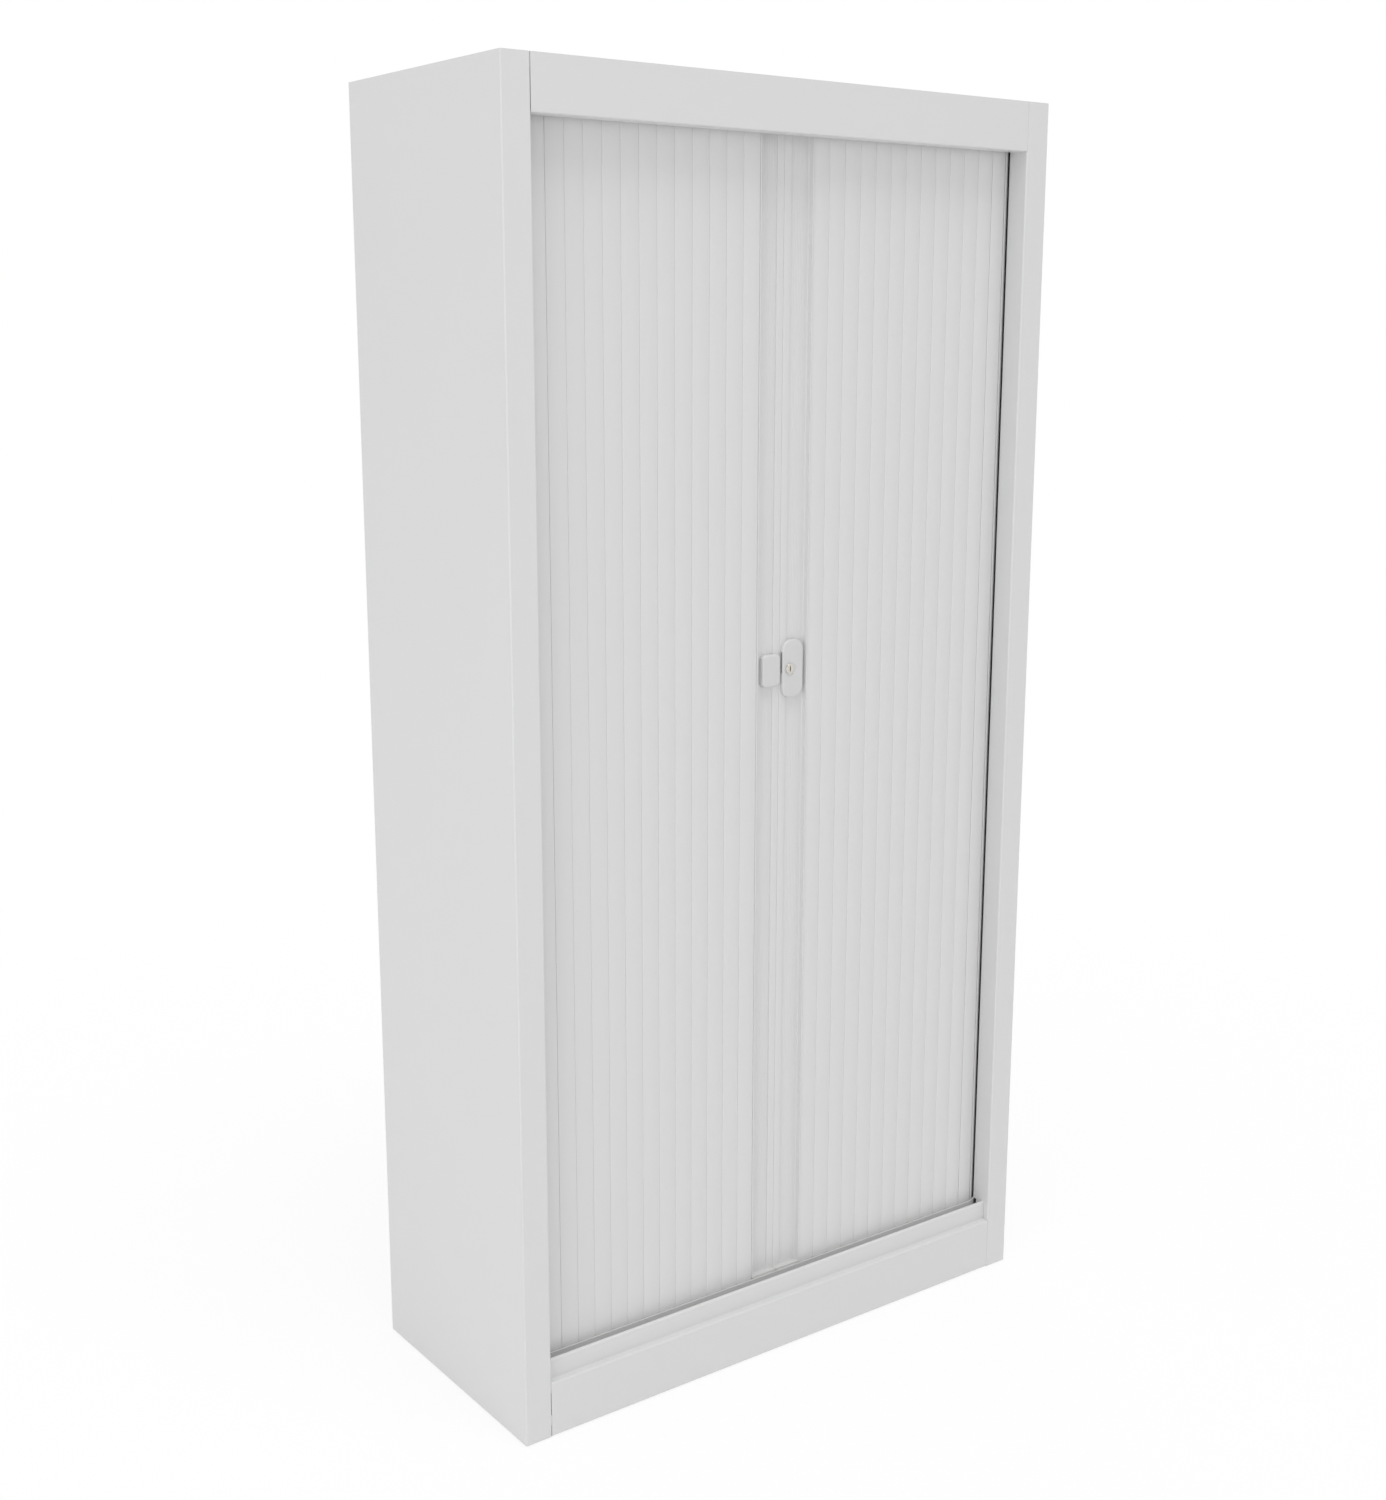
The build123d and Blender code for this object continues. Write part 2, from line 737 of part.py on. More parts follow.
def levelling_foot(x, depth):
    """A levelling foot: a hexagonal pad, a stud up through its bracket and a screwdriver slot on top."""
    foot = extrude(RegularPolygon(foot_pad_radius, 6), foot_pad_height)
    foot += Pos(0, 0, stud_top / 2) * Cylinder(stud_radius, stud_top)
    foot -= Pos(0, 0, stud_top) * Box(4 * stud_radius, stud_slot_width, 2 * stud_slot_depth)
    return Pos(x, place_y(depth), 0) * foot


def pieces():
    """Every node's name with its solid or solids."""
    found = {
        "right_side_panel": side_panel(),
        "back_panel": back_panel(),
        "top_panel": top_panel(),
        "ceiling_panel": ceiling_panel(),
        "base_panel": base_panel(),
        "header_rail": header_rail(),
        "plinth_rail": plinth_rail(),
        "right_liner": liner(),
        "shelf_uprights": shelf_uprights(),
        "shelf_clips": shelf_clips(),
        "upper_tracks": pair(track(ceiling_level, upper_track_height, False)),
        "lower_tracks": pair(track(floor_level, lower_track_height, True)),
        "centre_stops": centre_stops(),
        "foot_brackets": foot_brackets(),
        "right_leading_profile": leading_profile(),
        "right_runners": runners(),
        "lock_housing": lock_housing(),
        "lock_cylinder": lock_cylinder(),
        "lock_hook": lock_hook(),
        "strike_housing": strike_housing(),
    }
    for name in ("side_panel", "liner"):
        found[f"left_{name}"] = mirrored(found[f"right_{name}"])
    for name in ("leading_profile", "runners"):
        found[f"left_{name}"] = [mirrored(solid) for solid in found[f"right_{name}"]]
    for number, underside in enumerate(shelf_levels(), 1):
        found[f"shelf_{number}"] = shelf(underside)
    feet = [(x, depth) for depth in foot_depths for x in (-foot_x, foot_x)]
    for number, (x, depth) in enumerate(feet, 1):
        found[f"levelling_foot_{number}"] = levelling_foot(x, depth)
    section = slat_section()
    for number, place in enumerate(slat_places(), 1):
        right = slat(section, place)
        found[f"right_slat_{number:02d}"] = right
        found[f"left_slat_{number:02d}"] = mirrored(right)
    return found


def main():
    """Write one STEP file for each node."""
    os.makedirs("parts", exist_ok=True)
    for name, shape in pieces().items():
        solids = shape if isinstance(shape, list) else [shape]
        loose = [solid for one in solids for solid in one.solids()]
        whole = loose[0] if len(loose) == 1 else Compound(children=loose)
        export_step(whole, f"parts/{name}.step")


if __name__ == "__main__":
    main()
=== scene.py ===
import json
import math

import bmesh
import bpy
import numpy as np
from bpy.props import FloatProperty, FloatVectorProperty, PointerProperty, StringProperty
from mathutils import Matrix, Vector

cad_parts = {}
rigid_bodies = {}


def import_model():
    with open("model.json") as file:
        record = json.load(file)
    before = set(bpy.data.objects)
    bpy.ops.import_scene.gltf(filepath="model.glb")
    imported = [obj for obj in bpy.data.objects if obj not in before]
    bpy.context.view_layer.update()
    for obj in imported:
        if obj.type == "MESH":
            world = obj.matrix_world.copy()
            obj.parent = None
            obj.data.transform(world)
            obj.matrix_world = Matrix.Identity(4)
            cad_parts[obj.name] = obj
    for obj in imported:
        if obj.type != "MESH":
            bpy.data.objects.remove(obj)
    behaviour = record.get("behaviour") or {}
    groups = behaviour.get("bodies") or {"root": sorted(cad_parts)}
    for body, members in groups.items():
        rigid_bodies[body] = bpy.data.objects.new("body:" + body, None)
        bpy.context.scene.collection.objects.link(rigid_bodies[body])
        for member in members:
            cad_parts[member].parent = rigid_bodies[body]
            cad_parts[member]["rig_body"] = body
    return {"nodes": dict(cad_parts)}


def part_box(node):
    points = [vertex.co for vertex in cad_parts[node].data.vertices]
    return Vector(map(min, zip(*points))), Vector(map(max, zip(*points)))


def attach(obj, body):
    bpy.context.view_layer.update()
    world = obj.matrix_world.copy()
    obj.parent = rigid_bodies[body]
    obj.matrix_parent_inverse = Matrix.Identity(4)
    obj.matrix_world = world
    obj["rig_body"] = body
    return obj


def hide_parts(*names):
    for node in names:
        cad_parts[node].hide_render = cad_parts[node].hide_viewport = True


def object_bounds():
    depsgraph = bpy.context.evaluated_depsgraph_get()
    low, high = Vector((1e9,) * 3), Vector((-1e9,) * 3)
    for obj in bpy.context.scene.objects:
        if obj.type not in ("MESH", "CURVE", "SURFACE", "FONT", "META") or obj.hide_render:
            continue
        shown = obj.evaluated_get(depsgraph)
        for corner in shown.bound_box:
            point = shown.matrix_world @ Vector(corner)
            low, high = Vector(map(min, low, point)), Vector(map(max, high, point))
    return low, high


bl_info = {
    "name": "Tambour door cabinet",
    "version": (1, 0, 0),
    "blender": (4, 5, 0),
    "location": "View3D > Sidebar > Cabinet",
    "description": "Dresses the tall steel cabinet with side-opening tambour shutters",
    "category": "Add Mesh",
}

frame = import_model()
CAD_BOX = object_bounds()
MM = 0.001


# Helpers for materials


def linear(colour):
    """An sRGB hex colour as linear red, green, blue and alpha."""
    levels = [int(colour[i:i + 2], 16) / 255 for i in (1, 3, 5)]
    return [c / 12.92 if c <= 0.04045 else ((c + 0.055) / 1.055) ** 2.4 for c in levels] + [1.0]


def add(tree, kind, settings=None, links=None):
    """Adds a node, with its settings or socket values and its links, each by name or input number."""
    node = tree.nodes.new(kind)
    for name, value in (settings or {}).items():
        if isinstance(name, int) or name in node.inputs:
            node.inputs[name].default_value = value
        else:
            setattr(node, name, value)
    for name, socket in (links or {}).items():
        tree.links.new(socket, node.inputs[name])
    return node


def surface(name, colour, **settings):
    """A new material with its shader, whose fixed values sit on the shader's own sockets."""
    material = bpy.data.materials.new(name)
    material.use_nodes = True
    tree = material.node_tree
    tree.nodes.clear()
    values = {key.replace("_", " "): value for key, value in settings.items()}
    shader = add(tree, "ShaderNodeBsdfPrincipled", {"Base Color": linear(colour), **values})
    add(tree, "ShaderNodeOutputMaterial", {}, {"Surface": shader.outputs["BSDF"]})
    return material, tree, shader


def grain(tree, size, stretch=(1.0, 1.0, 1.0)):
    """Noise on Object coordinates whose lumps have a size in metres, drawn out along the axes."""
    place = add(tree, "ShaderNodeTexCoord")
    scale = tuple(1 / s for s in stretch)
    mapping = add(tree, "ShaderNodeMapping", {"Scale": scale}, {"Vector": place.outputs["Object"]})
    noise = add(tree, "ShaderNodeTexNoise", {"Scale": 1 / size}, {"Vector": mapping.outputs[0]})
    return noise.outputs["Fac"]


def vary(tree, shader, socket, source, low, high):
    """Lets a pattern move one of the shader's values between a low and a high one."""
    # Noise seldom leaves the middle of its range.
    values = {"From Min": 0.3, "From Max": 0.7, "To Min": low, "To Max": high}
    spread = add(tree, "ShaderNodeMapRange", values, {"Value": source})
    tree.links.new(spread.outputs["Result"], shader.inputs[socket])


def tint(tree, shader, source, first, second):
    """Lets a pattern mix the colour between two near shades."""
    # The node's colours are inputs 6 and 7 and output 2.
    values = {"data_type": "RGBA", 6: linear(first), 7: linear(second)}
    mix = add(tree, "ShaderNodeMix", values, {0: source})
    tree.links.new(mix.outputs[2], shader.inputs["Base Color"])


def relief(tree, shader, source, height):
    """Turns a pattern into a fine relief of a height in metres, over any relief that is there."""
    bump = add(tree, "ShaderNodeBump", {"Distance": height}, {"Height": source})
    under = shader.inputs["Normal"]
    if under.is_linked:
        tree.links.new(under.links[0].from_socket, bump.inputs["Normal"])
    tree.links.new(bump.outputs["Normal"], under)


def weld_marks(tree, across, behind, pitch, radius):
    """Nought in the spot welds, up a line on each side of the back, and one elsewhere. Sizes are in metres.

    Distance from the nearest weld = length of (|x| - across, height off the nearest multiple of the pitch).
    """
    place = add(tree, "ShaderNodeTexCoord")
    axes = add(tree, "ShaderNodeSeparateXYZ", {}, {"Vector": place.outputs["Object"]})
    outward = add(tree, "ShaderNodeMath", {"operation": "ABSOLUTE"}, {0: axes.outputs["X"]})
    off = add(tree, "ShaderNodeMath", {"operation": "SUBTRACT", 1: across}, {0: outward.outputs[0]})
    up = add(tree, "ShaderNodeMath", {"operation": "PINGPONG", 1: pitch / 2}, {0: axes.outputs["Z"]})
    offset = add(tree, "ShaderNodeCombineXYZ", {}, {"X": off.outputs[0], "Z": up.outputs[0]})
    away = add(tree, "ShaderNodeVectorMath", {"operation": "LENGTH"}, {0: offset.outputs[0]})
    values = {"interpolation_type": "SMOOTHSTEP", "From Min": radius * 2 / 3, "From Max": radius * 4 / 3}
    rim = add(tree, "ShaderNodeMapRange", values, {"Value": away.outputs["Value"]})
    front = add(tree, "ShaderNodeMath", {"operation": "LESS_THAN", 1: behind}, {0: axes.outputs["Y"]})
    both = {0: rim.outputs["Result"], 1: front.outputs[0]}
    return add(tree, "ShaderNodeMath", {"operation": "MAXIMUM"}, both).outputs[0]


# Materials, each from what the real one is


def powder_coat(colour, name="powder_coated_steel"):
    """Sheet steel with a baked polyester powder coat."""
    # Satin with a faint orange peel of about 1.5 mm, drawn at 4 mm so that it shows, and no metal showing.
    material, tree, shader = surface(name, colour, Roughness=0.42, IOR=1.5)
    relief(tree, shader, grain(tree, 4 * MM), 0.03 * MM)
    vary(tree, shader, "Roughness", grain(tree, 260 * MM), 0.38, 0.47)
    return material, tree, shader


def slat_plastic(colour):
    """Extruded PVC of the slats, dull from the die, with faint lines drawn up its length."""
    material, tree, shader = surface("extruded_pvc", colour, Roughness=0.5, IOR=1.53)
    relief(tree, shader, grain(tree, 1.2 * MM, (1.0, 1.0, 160.0)), 0.02 * MM)
    vary(tree, shader, "Roughness", grain(tree, 150 * MM), 0.46, 0.54)
    return material


def coated_profile(colour):
    """Extruded aluminium under the casing's powder coat: smoother than the sheet, with faint draw lines."""
    material, tree, shader = surface("powder_coated_aluminium", colour, Roughness=0.4, IOR=1.5)
    relief(tree, shader, grain(tree, 1.5 * MM, (1.0, 1.0, 120.0)), 0.015 * MM)
    vary(tree, shader, "Roughness", grain(tree, 200 * MM), 0.36, 0.44)
    return material


def moulded_abs(colour):
    """Spark-eroded ABS of the housings: an even grain of 0.5 mm, drawn at 1.5 mm so that it shows."""
    material, tree, shader = surface("moulded_abs", colour, Roughness=0.5, IOR=1.54)
    relief(tree, shader, grain(tree, 1.5 * MM), 0.03 * MM)
    vary(tree, shader, "Roughness", grain(tree, 30 * MM), 0.46, 0.56)
    return material


def nickel_plate():
    """Nickel-plated brass of the cylinder: satin, with a faint mottle of about 0.8 mm."""
    material, tree, shader = surface("nickel_plated_brass", "#D2CFC8", Metallic=1.0, Roughness=0.3)
    relief(tree, shader, grain(tree, 0.8 * MM), 0.01 * MM)
    vary(tree, shader, "Roughness", grain(tree, 3 * MM), 0.24, 0.36)
    return material


def zinc_plate():
    """Bright zinc on steel: bluish white metal with soft cloudy spangles of about 8 mm."""
    material, tree, shader = surface("zinc_plated_steel", "#C3C7CB", Metallic=1.0, Roughness=0.36)
    cloud = grain(tree, 8 * MM)
    vary(tree, shader, "Roughness", cloud, 0.28, 0.46)
    tint(tree, shader, cloud, "#BBC0C5", "#CDCFD0")
    return material


def track_plastic():
    """Moulded acetal of the tracks and shoes, dyed near the casing's grey, slightly glossy from rubbing."""
    material, tree, shader = surface("moulded_acetal", "#CFCFCE", Roughness=0.38, IOR=1.48)
    vary(tree, shader, "Roughness", grain(tree, 40 * MM), 0.32, 0.44)
    relief(tree, shader, grain(tree, 2 * MM), 0.015 * MM)
    return material


def pad_nylon():
    """Black glass-filled nylon of the feet's pads: matt, with pale fibres just showing."""
    material, tree, shader = surface("glass_filled_nylon", "#232425", Roughness=0.62, IOR=1.53)
    tint(tree, shader, grain(tree, 1.5 * MM, (1.0, 3.0, 1.0)), "#1E1F20", "#2C2D2E")
    relief(tree, shader, grain(tree, 1.2 * MM), 0.02 * MM)
    return material


def finish(names, material):
    """Puts one material on all the slots of some CAD nodes."""
    for name in names:
        node = frame["nodes"][name]
        if not node.material_slots:
            node.data.materials.append(material)
        for slot in node.material_slots:
            slot.material = material


def sides(name):
    """The left and right nodes of a pair."""
    return [f"left_{name}", f"right_{name}"]


# Helpers for new pieces, in millimetres, with depths that run back from the front of the stiles


CABINET_DEPTH = CAD_BOX[1][1] - CAD_BOX[0][1]
# Points round each turned shape
HOUSING_POINTS = 120
CYLINDER_POINTS = 96
FOOT_POINTS = 36
# Points along each curve of an outline, and levels to each turn of a thread
CORNER_POINTS = 13
CROWN_POINTS = 15
SHOULDER_POINTS = 9
BEAD_POINTS = 17
EDGE_POINTS = 5
FILLET_POINTS = 4
INNER_POINTS = 7
GROOVE_POINTS = 8
FRONT_POINTS = 8
THREAD_LEVELS = 8
# Degrees at which an edge starts to be sharp
SHARP_FROM = 35


def in_frame(points):
    """Points as (x, depth, height) in millimetres, in the frame's own metres."""
    points = np.asarray(points, float) * MM
    points[..., 1] -= CABINET_DEPTH / 2
    return points


def piece(name, node, points, faces, materials, cutters=()):
    """A new mesh that stands for a CAD node and rides on its body, less any cutters' blocks.

    Ends left open are closed, faces are turned outwards, and the slighter edges are smooth.
    """
    mesh = bpy.data.meshes.new(name)
    mesh.from_pydata(np.reshape(points, (-1, 3)).tolist(), [], faces)
    for material in materials:
        mesh.materials.append(material)
    close_ends(mesh)
    made = bpy.data.objects.new(name, mesh)
    bpy.context.scene.collection.objects.link(made)
    for low, high in cutters:
        cut(made, low, high)
    made.data.shade_smooth()
    made.data.set_sharp_from_angle(angle=math.radians(SHARP_FROM))
    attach(made, frame["nodes"][node]["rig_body"])
    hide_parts(node)
    return made


def close_ends(mesh):
    """Fills each flat level of open edges, round any hollow in it, and turns all the faces outwards."""
    shape = bmesh.new()
    shape.from_mesh(mesh)
    open_edges = [edge for edge in shape.edges if edge.is_boundary]
    heights = [edge.verts[0].co.z for edge in open_edges]
    slack = MM / 50
    for level in {round(height, 5) for height in heights}:
        loops = [edge for edge, height in zip(open_edges, heights) if abs(height - level) < slack]
        bmesh.ops.triangle_fill(shape, use_beauty=True, use_dissolve=False, edges=loops)
    if any(edge.is_boundary for edge in shape.edges):
        raise RuntimeError(f"{mesh.name} was left open")
    bmesh.ops.recalc_face_normals(shape, faces=shape.faces)
    shape.to_mesh(mesh)
    shape.free()


def cut(made, low, high):
    """Takes a block between two corners (x, depth, height), in millimetres, out of a piece."""
    across, back, up = zip(low, high)
    corners = [(x, depth, z) for x in across for depth in back for z in up]
    faces = [(0, 1, 3, 2), (4, 6, 7, 5), (0, 4, 5, 1), (2, 3, 7, 6), (0, 2, 6, 4), (1, 5, 7, 3)]
    mesh = bpy.data.meshes.new("cutter")
    mesh.from_pydata(in_frame(corners).tolist(), [], faces)
    block = bpy.data.objects.new("cutter", mesh)
    bpy.context.scene.collection.objects.link(block)
    removal = made.modifiers.new("cut", "BOOLEAN")
    removal.operation = "DIFFERENCE"
    removal.solver = "EXACT"
    removal.object = block
    graph = bpy.context.evaluated_depsgraph_get()
    result = bpy.data.meshes.new_from_object(made.evaluated_get(graph))
    made.modifiers.clear()
    made.data = result
    bpy.data.objects.remove(block)


def corners_of(node):
    """A CAD node's lowest and highest (x, depth, height) at rest, in millimetres."""
    low, high = (np.array(corner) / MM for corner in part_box(node))
    shift = np.array([0.0, CABINET_DEPTH / 2 / MM, 0.0])
    return low + shift, high + shift


def arc(centre, radius, start, end, count):
    """Points of an arc between two angles in degrees, of an ellipse if there are two radii."""
    turns = np.radians(np.linspace(start, end, count))
    wide, high = np.broadcast_to(radius, 2)
    return np.stack([centre[0] + wide * np.cos(turns), centre[1] + high * np.sin(turns)], -1)


def rounded_outline(centre, half_width, half_height, corner):
    """A rectangle with rounded corners: four quarter circles joined by its straight sides."""
    quarters = []
    for start, across, up in ((0, 1, 1), (90, -1, 1), (180, -1, -1), (270, 1, -1)):
        middle = (centre[0] + across * (half_width - corner), centre[1] + up * (half_height - corner))
        quarters.append(arc(middle, corner, start, start + 90, CORNER_POINTS))
    return np.concatenate(quarters)


def polygon(centre, radius, corners, start=0.0):
    """A regular polygon's corners."""
    return arc(centre, radius, start, start + 360, corners + 1)[:-1]


def reach_to(outline, centre, around):
    """How far a convex outline lies from a centre, at angles evenly round a turn.

    Reach = the least, over the sides, of a side's distance over the cosine from its normal to the angle.
    """
    turns = np.arange(around) * 2 * math.pi / around
    directions = np.stack([np.cos(turns), np.sin(turns)], -1)
    start = outline - np.array(centre)
    run = np.roll(start, -1, axis=0) - start
    normal = np.stack([run[:, 1], -run[:, 0]], -1) / np.hypot(*run.T)[:, None]
    distance = (start * normal).sum(-1)
    slope = directions @ normal.T
    least = 1e-6
    return np.where(slope > least, distance / np.maximum(slope, least), np.inf).min(1)


def rings(centre, reaches, places, around, upright=False):
    """Rings about an axis: each has a reach, even or at every angle, and its own place along the axis.

    The axis runs back through a centre (x, height), or up through a centre (x, depth) if upright.
    """
    turns = np.arange(around) * 2 * math.pi / around
    reaches = np.array([np.broadcast_to(reach, around) for reach in reaches])
    along = np.broadcast_to(np.reshape(places, (-1, 1)), reaches.shape)
    first = centre[0] + reaches * np.cos(turns)
    second = centre[1] + reaches * np.sin(turns)
    return np.stack([first, second, along] if upright else [first, along, second], -1)


def ring_faces(count, around, looped=False):
    """The quads between neighbouring rings. The last joins the first if looped, or else both are closed."""
    i, j = np.meshgrid(np.arange(count if looped else count - 1), np.arange(around), indexing="ij")
    onward, beside = (i + 1) % count * around, (j + 1) % around
    quads = np.stack([i * around + j, i * around + beside, onward + beside, onward + j], -1)
    faces = quads.reshape(-1, 4).tolist()
    if not looped:
        faces += [list(range(around)), list(range((count - 1) * around, count * around))]
    return faces


def extrusion(name, node, loops, side, material):
    """Closed loops of (x, depth), mirrored where side is -1, carried up the node's height."""
    low, high = corners_of(node)
    plan = np.concatenate(loops) * [side, 1]
    points = [np.column_stack([plan, np.full(len(plan), z)]) for z in (low[2], high[2])]
    walls = []
    first = 0
    for loop in loops:
        count = np.arange(len(loop))
        here, onward = first + count, first + (count + 1) % len(loop)
        walls += np.stack([here, onward, onward + len(plan), here + len(plan)], -1).tolist()
        first += len(loop)
    return piece(name, node, in_frame(points), walls, [material])


# Settings that a user would change


def size(name, description, default):
    """A size in millimetres that a user may change."""
    return FloatProperty(name=name, description=description + ", mm", default=default)


def angle(name, description, degrees):
    """An angle that a user may change."""
    return FloatProperty(name=name, description=description, default=math.radians(degrees), subtype="ANGLE")


def colour(name, description, default):
    """An sRGB hex colour that a user may change."""
    return StringProperty(name=name, description="Hex colour " + description, default=default)


class CabinetSettings(bpy.types.PropertyGroup):
    casing_colour: colour("Casing colour", "of the powder coat", "#D6D6D6")
    slat_colour: colour("Slat colour", "of the slats", "#D6D6D6")
    housing_colour: colour("Housing colour", "of the lock and strike housings", "#CECECE")
    weld_inset: size("Weld inset", "From the cabinet's side to the spot welds up its back", 11.0)
    weld_pitch: size("Weld pitch", "From one spot weld to the next", 150.0)
    weld_radius: size("Weld radius", "Of a spot weld's mark", 3.0)
    weld_depth: size("Weld depth", "Of a spot weld's mark", 0.2)


class SlatSettings(bpy.types.PropertyGroup):
    pitch: size("Pitch", "From one hinge to the next", 30.4)
    nose: size("Nose", "From the hinge to the slat's near end and back", 2.35)
    gap: size("Gap", "Between one slat and the next", 0.08)
    front: size("Front", "From the hinge to the slat's front", 4.15)
    shoulder_width: size("Shoulder width", "Of the rounded flanks", 2.4)
    shoulder_depth: size("Shoulder depth", "Of the rounded flanks", 0.9)
    crown: size("Crown", "Rise of the front between its shoulders", 0.9)
    bead: size("Bead", "Radius of the hinge's bead", 1.3)
    clearance: size("Clearance", "Round the bead in its socket", 0.25)
    neck: size("Neck", "Thickness behind the bead", 1.0)
    wall: size("Wall", "Thickness of the hollow slat's walls", 1.1)
    mouth_front: angle("Mouth front", "Socket's opening to the front", 24)
    mouth_back: angle("Mouth back", "Socket's opening to the back", 58)


class LeadingSettings(bpy.types.PropertyGroup):
    hinge: size("Hinge", "From the cabinet's middle to the first slat's hinge", 52.0)
    meeting_gap: size("Meeting gap", "From the cabinet's middle to the closed profile", 0.08)
    lip_width: size("Lip width", "Of the meeting lip", 13.0)
    lip_height: size("Lip height", "Of the meeting lip", 2.0)
    grip_depth: size("Grip depth", "Of the recess behind the slats' front", 10.0)
    wall: size("Wall", "Thickness of the profile", 1.8)
    edge_radius: size("Edge radius", "Of the profile's outer corners", 0.7)
    inner_radius: size("Inner radius", "Of the recess's corner beside the slats", 2.5)
    fillet: size("Fillet", "Beside the lip and in the hollow's corners", 0.5)
    groove_pitch: size("Groove pitch", "From one grip groove to the next", 3.0)
    groove_depth: size("Groove depth", "Of the grip grooves", 0.3)


class LockSettings(bpy.types.PropertyGroup):
    lock_corner: size("Lock corner", "Corner radius of the lock's housing", 17.0)
    strike_corner: size("Strike corner", "Corner radius of the strike's housing", 8.0)
    edge_radius: size("Edge radius", "Of the housings' front edges", 3.2)
    wall: size("Wall", "Thickness of the housings", 2.0)
    dish_radius: size("Dish radius", "Of the hollow round the cylinder", 11.0)
    dish_depth: size("Dish depth", "Of the hollow round the cylinder", 0.5)
    cylinder_radius: size("Cylinder radius", "Of the barrel", 8.0)
    turning_gap: size("Turning gap", "Round the barrel", 0.05)
    keyway_width: size("Keyway width", "Of the keyway", 2.2)
    keyway_height: size("Keyway height", "Of the keyway", 9.0)
    keyway_depth: size("Keyway depth", "Of the keyway", 4.0)
    flange_radius: size("Flange radius", "To the corners of the hexagon behind the wall", 9.8)
    flange_front: size("Flange front", "From the barrel's face to the hexagon", 3.7)
    flange_back: size("Flange back", "From the barrel's face to the hexagon's back", 4.7)
    tail: size("Tail", "Side of the square tail", 6.0)
    slot_front: size("Slot front", "From a housing's front to the hook's slot", 2.45)
    slot_back: size("Slot back", "From a housing's front to the slot's back", 5.6)
    slot_low: size("Slot low", "Of the slots below the cylinder's middle", 6.0)
    lock_slot_high: size("Lock slot high", "Of the lock's slot above the cylinder's middle", 26.26)
    strike_slot_high: size("Strike slot high", "Of the strike's slot above the cylinder's middle", 22.3)
    clearance: size("Clearance", "Round the meeting lip, and past the wall at the hook's slot", 0.2)


class FootSettings(bpy.types.PropertyGroup):
    pad_radius: size("Pad radius", "To the corners of the hexagonal pad", 16.0)
    pad_height: size("Pad height", "Of the pad", 7.0)
    stud_radius: size("Stud radius", "Of the threaded stud", 5.0)
    thread_pitch: size("Thread pitch", "Of the stud", 1.5)
    thread_depth: size("Thread depth", "Of the stud", 0.7)
    slot_width: size("Slot width", "Of the screwdriver slot", 1.6)
    slot_depth: size("Slot depth", "Of the screwdriver slot", 3.0)


class StageSettings(bpy.types.PropertyGroup):
    focal_length: FloatProperty(
        name="Focal length", description="Lens on a 36 mm sensor", default=45.66, unit="CAMERA"
    )
    camera_place: FloatVectorProperty(
        name="Camera place", description="Where the camera stands", default=(-1.8104, -2.4185, 1.6256),
        subtype="TRANSLATION", unit="LENGTH",
    )
    azimuth: angle("Azimuth", "Turn of the view round the cabinet", -36.264)
    elevation: angle("Elevation", "Height of the view", 12.349)
    roll: angle("Roll", "Tilt of the picture", 0.081)
    sky_level: FloatProperty(
        name="Sky level", description="Even light from all round", default=0.72, min=0.0
    )
    lamp_power: FloatProperty(
        name="Lamp power", description="Unit of the softboxes' power", default=16.0, min=0.0, unit="POWER"
    )
    floor_span: FloatProperty(
        name="Floor span", description="Side of the floor", default=60.0, unit="LENGTH"
    )
    glow_low: FloatProperty(name="Low glow", description="Floor's glow near the cabinet", default=0.85)
    glow_start: FloatProperty(
        name="Glow start", description="Where the glow starts to rise", default=0.6, unit="LENGTH"
    )
    glow_end: FloatProperty(
        name="Glow end", description="Where the glow is full", default=3.0, unit="LENGTH"
    )


